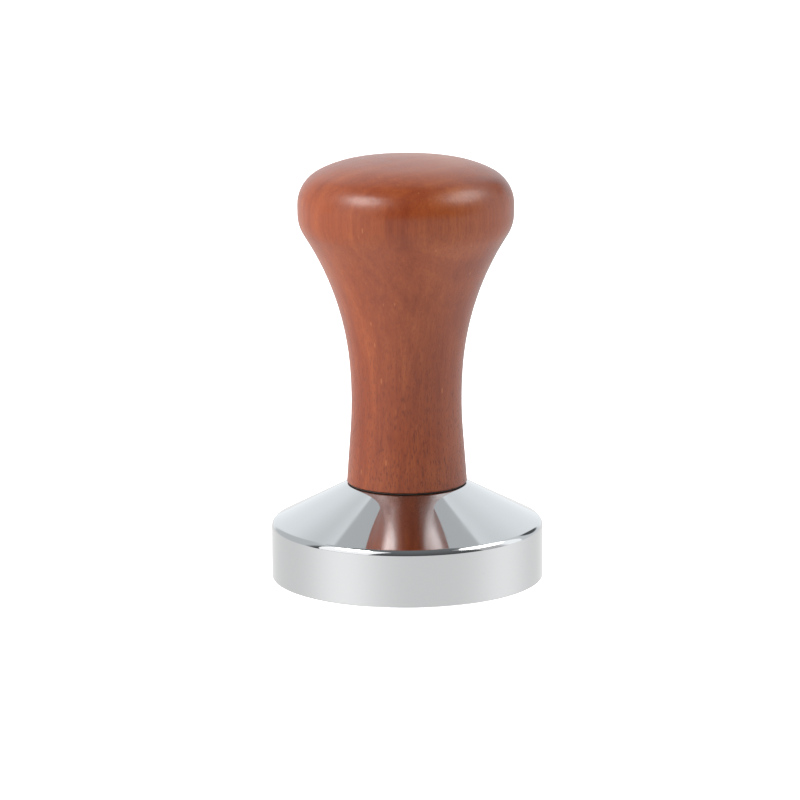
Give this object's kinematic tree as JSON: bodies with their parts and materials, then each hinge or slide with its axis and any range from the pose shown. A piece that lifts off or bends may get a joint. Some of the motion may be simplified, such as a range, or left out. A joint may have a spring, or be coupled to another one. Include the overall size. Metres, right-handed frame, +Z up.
{
  "type": "espresso tamper",
  "caption": "Espresso tamper: a heavy round polished steel base with a coned shoulder, screwed to a waisted turned wooden handle with a broad domed knob.",
  "frame": {"origin": "centre of the flat tamping face, which is the lowest face", "axes": "+Z up along the axis that the base and the handle are turned on, from the tamping face to the crown of the knob; X and Y lie in the tamping face"},
  "size_m": [0.058, 0.058, 0.0905],
  "materials": {
    "steel": "polished",
    "wood": "satin",
    "black_rubber": "matte",
    "screw_steel": "satin",
    "brass": "satin"
  },
  "bodies": {
    "base": {"base": "steel"},
    "seal_ring": {"seal_ring": "black_rubber"},
    "handle": {"handle": "wood", "threaded_insert": "brass", "stud": "screw_steel"}
  },
  "joints": [
    {"name": "handle_turn", "type": "hinge", "parent": "base", "child": "seal_ring", "pos_m": [0, 0, 0.0203], "axis": [0, 0, 1], "range_deg": [0, 3600]},
    {"name": "handle_rise", "type": "slide", "parent": "seal_ring", "child": "handle", "axis": [0, 0, 1], "range_m": [0, 0.0125]}
  ],
  "couplings": [
    {"joint": "handle_rise", "follows": "handle_turn", "m_per_rad": 0.00019894}
  ]
}
